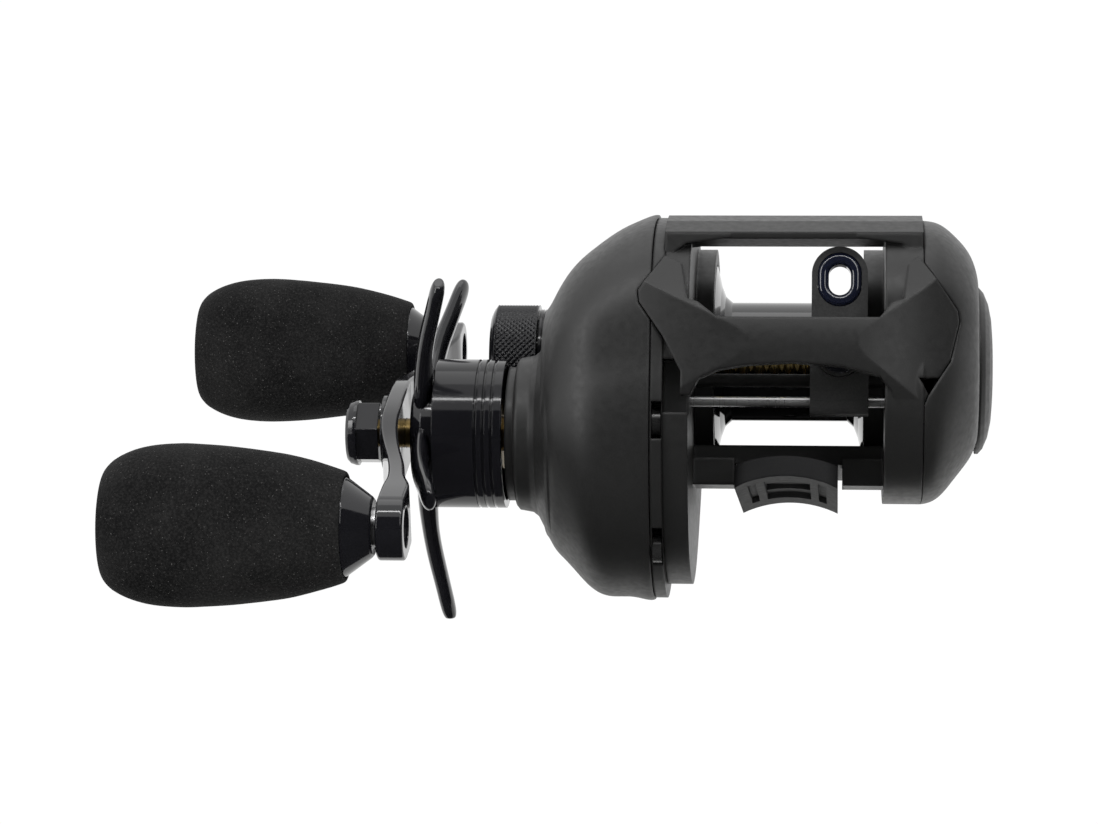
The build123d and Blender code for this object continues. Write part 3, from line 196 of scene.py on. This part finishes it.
def ground_foam(name):
    """Ground EVA foam: black, velvety, with open cells and scattered paler flecks."""
    m = Nodes(name)
    flecks = m.remap(m.noise(2600.0, 3.0), 0.42, 0.72, 0.0, 1.0)
    sparks = m.remap(m.noise(3600.0, 1.0), 0.7, 0.76, 0.0, 1.0)
    cloud = m.remap(m.noise(110.0, 4.0), 0.35, 0.7, 0.0, 0.06)
    ground = m.math("ADD", m.math("MULTIPLY", flecks, 0.10), cloud)
    tone = m.math("ADD", ground, m.math("MULTIPLY", sparks, 0.7))
    m.set(m.surface, "Base_Color", m.blend(tone, (0.0025, 0.0025, 0.0027), (0.09, 0.088, 0.086)))
    m.surface.inputs["Roughness"].default_value = 0.93
    m.surface.inputs["Specular IOR Level"].default_value = 0.14
    m.surface.inputs["Sheen Weight"].default_value = 0.02
    m.surface.inputs["Sheen Roughness"].default_value = 0.45
    cells = m.noise(2600.0, 3.0)
    pits = m.noise(900.0, 4.0)
    m.set(m.surface, "Normal", m.bump(cells, 0.05 * MM, 0.75, m.bump(pits, 0.06 * MM, 0.35)))
    return m.material


MATERIALS = {
    "body_black": soft_touch("soft_touch_black", (0.0085, 0.0085, 0.0085), (0.0145, 0.0145, 0.0143), 0.43),
    "foot_black": soft_touch(
        "satin_foot_black", (0.011, 0.011, 0.0115), (0.017, 0.017, 0.0175), 0.6, level=0.08
    ),
    "screw_black": gloss_black("blackened_screw", (0.01, 0.01, 0.01), rough=0.22, edge=0.12 * MM),
    "dark_polymer": moulded("moulded_black", (0.010, 0.010, 0.010), (0.020, 0.020, 0.020), 0.5),
    "gloss_black_metal": gloss_black("gloss_black"),
    "turned_black": gloss_black("turned_gloss_black", rough=0.09, brushed=0.5, level=0.35),
    "spool_black": gloss_black(
        "spool_black", (0.006, 0.006, 0.007), rough=0.06, edge=0.15 * MM, brushed=0.35, level=0.8
    ),
    "foam": ground_foam("ground_foam"),
    "guide_ceramic": gloss_black(
        "guide_ceramic", (0.004, 0.005, 0.011), rough=0.04, edge=0.1 * MM, level=0.9
    ),
    "steel": bare_metal("ground_steel", (0.42, 0.42, 0.43), (0.62, 0.62, 0.62), 0.26),
    "bright_rod": bare_metal("polished_rod", (0.72, 0.72, 0.72), (0.9, 0.9, 0.9), 0.36, depth=0.002 * MM),
    "brass": bare_metal("machined_brass", (0.62, 0.45, 0.16), (0.86, 0.68, 0.32), 0.24),
    "dull_brass": bare_metal("dull_brass", (0.14, 0.095, 0.035), (0.26, 0.19, 0.08), 0.34),
    "aluminium": bare_metal("machined_aluminium", (0.5, 0.5, 0.52), (0.7, 0.7, 0.72), 0.33),
}
OTHER_FINISH = {
    "reel_foot": "foot_black",
    "drag_barrel": "turned_black",
    "tension_boss": "turned_black",
    "tension_cap": "turned_black",
    "line_guide": "dark_polymer",
    "drive_shaft": "dull_brass",
    "cover_screws": "screw_black",
}
for part in frame["record"]["subparts"]:
    node = frame["nodes"][part["node"]]
    finish = OTHER_FINISH.get(part["node"], part["material_slot"])
    if not node.material_slots:
        node.data.materials.append(MATERIALS[finish])
    for held in node.material_slots:
        held.material = MATERIALS[finish]


# ---------------------------------------------------------------- mesh helpers
def skin(name, rings, finish, caps=False):
    """A closed mesh through rings of points. Without caps the last ring joins the first."""
    count = len(rings[0])
    points = [p for ring in rings for p in ring]
    faces = []
    for i in range(len(rings) if not caps else len(rings) - 1):
        a, b = i * count, (i + 1) % len(rings) * count
        for k in range(count):
            n = (k + 1) % count
            faces.append((a + k, a + n, b + n, b + k))
    if caps:
        for ring, first in ((rings[0], 0), (rings[-1], (len(rings) - 1) * count)):
            middle = len(points)
            points.append(sum(ring, Vector()) / count)
            for k in range(count):
                n = (k + 1) % count
                faces.append((middle, first + n, first + k) if first == 0 else (middle, first + k, first + n))
    mesh = bpy.data.meshes.new(name)
    mesh.from_pydata(points, [], faces)
    mesh.validate()
    mesh.update()
    for f in mesh.polygons:
        f.use_smooth = True
    mesh.materials.append(MATERIALS[finish])
    piece = bpy.data.objects.new(name, mesh)
    bpy.context.scene.collection.objects.link(piece)
    return piece


def smooth_path(stations, steps):
    """Catmull-Rom points through rows of numbers."""
    rows = [stations[0]] + list(stations) + [stations[-1]]
    out = []
    for i in range(len(stations) - 1):
        p0, p1, p2, p3 = rows[i : i + 4]
        for s in range(steps):
            t = s / steps
            row = []
            for a, b, c, d in zip(p0, p1, p2, p3):
                square = 2 * a - 5 * b + 4 * c - d
                cube = 3 * b - a - 3 * c + d
                row.append(0.5 * (2 * b + (c - a) * t + square * t * t + cube * t**3))
            out.append(tuple(row))
    out.append(tuple(stations[-1]))
    return out


def round_x(middle, x, r, a):
    """The point at angle a of a circle of radius r round an axis along X. x and r are in millimetres."""
    return Vector((x * MM, middle.y + r * MM * math.cos(a), middle.z + r * MM * math.sin(a)))


# ---------------------------------------------------------------- foam grips
# distance from the outer end in millimetres, half height, half depth, squareness of the section
GRIP = [
    (0.0, 8.0, 6.6, 2.0), (0.15, 8.8, 7.1, 2.0), (0.7, 9.7, 7.7, 2.05), (1.9, 10.8, 8.5, 2.1),
    (4.0, 11.9, 9.3, 2.2), (6.5, 12.7, 9.9, 2.3), (9.4, 13.2, 10.2, 2.35), (13.0, 13.4, 10.4, 2.4),
    (16.4, 13.3, 10.4, 2.4), (20.5, 13.0, 10.3, 2.4), (25.1, 12.5, 10.05, 2.35), (29.5, 11.9, 9.8, 2.25),
    (33.2, 11.1, 9.5, 2.15), (36.5, 10.2, 9.15, 2.05), (39.1, 9.35, 8.9, 2.0), (39.75, 9.05, 8.75, 2.0),
    (39.9, 8.8, 8.6, 2.0),
]  # fmt: skip
GRIP_AROUND = 112
CAP_HOLE_R, BORE_R, COLLAR_HOLE_R = 5.6, 4.42, 8.2
SEAT = 1.3  # depth of the seats of the end cap and the collar


def grip(place):
    """One foam grip: its section is between an ellipse and a soft rectangle, its surface a little uneven."""
    low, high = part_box(f"knob_{place}_grip")
    middle = (low + high) / 2
    rows = smooth_path(GRIP, 4)
    rings = []
    for x, tall, deep, square in rows:
        ring = []
        for k in range(GRIP_AROUND):
            a = math.tau * k / GRIP_AROUND
            c, s = math.cos(a), math.sin(a)
            y = deep * MM * math.copysign(abs(c) ** (2 / square), c)
            z = tall * MM * math.copysign(abs(s) ** (2 / square), s)
            p = Vector((low.x + x * MM, middle.y + y, middle.z + z))
            uneven = noise.noise(p * 220.0) * 0.07 * MM + noise.noise(p * 1500.0) * 0.018 * MM
            out = Vector((0, y, z)).normalized()
            ring.append(p - out * (0.05 * MM + uneven * 0.6))
        rings.append(ring)
    outer_end, inner_end = low.x / MM, high.x / MM
    inside = [
        (inner_end - 0.02, COLLAR_HOLE_R + 0.25), (inner_end - 0.3, COLLAR_HOLE_R),
        (inner_end - SEAT, COLLAR_HOLE_R), (inner_end - SEAT, BORE_R),
        (outer_end + SEAT, BORE_R), (outer_end + SEAT, CAP_HOLE_R),
        (outer_end + 0.35, CAP_HOLE_R), (outer_end + 0.02, CAP_HOLE_R + 0.35),
    ]  # fmt: skip
    for x, r in inside:
        rings.append([round_x(middle, x, r, math.tau * k / GRIP_AROUND) for k in range(GRIP_AROUND)])
    piece = skin(f"foam_grip_{place}", rings, "foam")
    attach(piece, f"knob_{place}")
    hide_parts(f"knob_{place}_grip")


for place in ("near", "far"):
    grip(place)

# ---------------------------------------------------------------- knurled cast-control cap
KNURLS, KNURL_DEPTH = 60, 0.34
KNURL_STEPS = 8  # rows and points to one diamond
KNURL_REACH = (1.2, 8.25)
# distance from the outer face, and radius
CAP_FACE = [(0.0, 0.4), (0.0, 4.0), (0.0, 8.3), (0.12, 8.6), (0.5, 9.35)]
CAP_HOLLOW = [(8.5, 7.45), (1.6, 7.45), (1.6, 4.4), (7.0, 4.4), (7.0, 0.4)]


def knurled_cap():
    """The cap with a diamond knurl round its grip, in place of the straight flutes of the CAD node."""
    low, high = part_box("tension_cap")
    middle = (low + high) / 2
    left = low.x / MM
    radius = (high.z - low.z) / 2 / MM
    pitch = math.tau * radius / KNURLS
    profile = [(x, r, 0) for x, r in CAP_FACE] + [(1.05, radius, 0)]
    x = KNURL_REACH[0]
    while x < KNURL_REACH[1]:
        profile.append((x, radius, 1))
        x += pitch / KNURL_STEPS
    profile += [(8.4, radius, 0), (8.5, radius - 0.5, 0)] + [(x, r, 0) for x, r in CAP_HOLLOW]
    around = KNURLS * KNURL_STEPS
    rings = []
    for x, r, cut in profile:
        ring = []
        for k in range(around):
            a = math.tau * k / around
            depth = 0.0
            if cut:
                u = (k / KNURL_STEPS + x / pitch) % 1.0
                v = (k / KNURL_STEPS - x / pitch) % 1.0
                depth = KNURL_DEPTH * 2 * max(abs(u - 0.5), abs(v - 0.5))
            ring.append(round_x(middle, left + x, r - depth, a))
        rings.append(ring)
    piece = skin("knurled_cap", rings, "turned_black", caps=True)
    for f in piece.data.polygons:
        f.use_smooth = False
    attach(piece, "tension_cap")
    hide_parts("tension_cap")


knurled_cap()


# ---------------------------------------------------------------- stage and light
def card(name, size, location, facing, material, seen=True):
    """A flat rectangle of the studio, not part of the object. An unseen one shows only in reflections."""
    w, h = size[0] / 2, size[1] / 2
    mesh = bpy.data.meshes.new(name)
    mesh.from_pydata([(-w, -h, 0), (w, -h, 0), (w, h, 0), (-w, h, 0)], [], [(0, 1, 2, 3)])
    mesh.materials.append(material)
    obj = bpy.data.objects.new(name, mesh)
    bpy.context.scene.collection.objects.link(obj)
    obj.location = location
    obj.rotation_euler = Vector(facing).to_track_quat("Z", "Y").to_euler()
    obj.visible_camera = seen
    obj.visible_shadow = obj.visible_diffuse = seen


def plain(name, colour, rough=0.9):
    m = Nodes(name)
    m.surface.inputs["Base Color"].default_value = (*colour, 1)
    m.surface.inputs["Roughness"].default_value = rough
    return m.material


def softbox(name, size, location, target, radiance):
    """A rectangular area light of the given radiance, aimed at a point."""
    data = bpy.data.lights.new(name, "AREA")
    data.shape = "RECTANGLE"
    data.size, data.size_y = size
    data.energy = radiance * math.pi * size[0] * size[1]
    lamp = bpy.data.objects.new(name, data)
    bpy.context.scene.collection.objects.link(lamp)
    lamp.location = location
    lamp.rotation_euler = (Vector(location) - Vector(target)).to_track_quat("Z", "Y").to_euler()


FLOOR_Z = -0.14
card("floor", (2.6, 2.4), (0, 0.35, FLOOR_Z), (0, 0, 1), plain("pale_floor", (0.72, 0.72, 0.71)))
flag_black = plain("flag_black", (0.01, 0.01, 0.01))
card("front_flag", (2.2, 0.62), (0.1, -0.8, 0.16), (0, 1, 0), flag_black, seen=False)
card("right_flag", (1.0, 0.7), (0.9, -0.3, 0.2), (-1, 0.3, 0), flag_black, seen=False)
card("low_flag", (1.6, 0.86), (0.0, -0.37, FLOOR_Z + 0.01), (0, 0, 1), flag_black, seen=False)

softbox("top", (0.9, 0.4), (0.0, 0.0, 0.75), (0.0, 0.0, 0.02), 0.9)
softbox("strip", (0.9, 0.035), (-0.05, -0.42, 0.46), (-0.02, 0, 0.02), 16.0)
softbox("left_key", (0.16, 0.5), (-0.6, -0.42, 0.16), (-0.01, 0, 0.01), 5.0)
softbox("right_fill", (0.2, 0.4), (0.34, -0.66, 0.24), (0.02, 0, 0.02), 3.5)

world = bpy.data.worlds.new("studio")
world.use_nodes = True
world.node_tree.nodes["Background"].inputs["Color"].default_value = (1, 1, 1, 1)
world.node_tree.nodes["Background"].inputs["Strength"].default_value = 1.02
bpy.context.scene.world = world
bpy.context.scene.view_settings.view_transform = "Standard"
bpy.context.scene.view_settings.look = "None"
